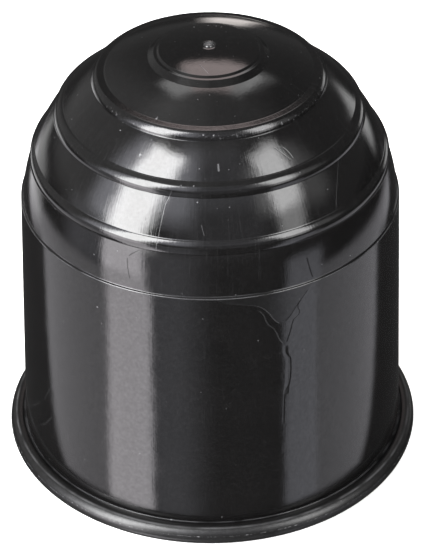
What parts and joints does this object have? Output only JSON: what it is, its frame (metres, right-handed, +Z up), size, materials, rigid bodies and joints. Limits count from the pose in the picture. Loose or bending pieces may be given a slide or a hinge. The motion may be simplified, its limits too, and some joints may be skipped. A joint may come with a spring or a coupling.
{
  "type": "tow ball cover",
  "caption": "Black moulded plastic cap with a ringed dome, a plain skirt and a rolled rim, pushed over a tow ball to keep its grease clean.",
  "frame": {"origin": "centre of the flat rim face that the cap rests on", "axes": "+Z up the cap's axis towards the button on the crown, -Y towards the camera of the picture, +X to its right"},
  "size_m": [0.0606, 0.0606, 0.0658],
  "materials": {
    "black_plastic": "satin, as moulded, with flow marks and fine scratches"
  },
  "bodies": {
    "root": {"cover_shell": "black_plastic"}
  },
  "joints": []
}
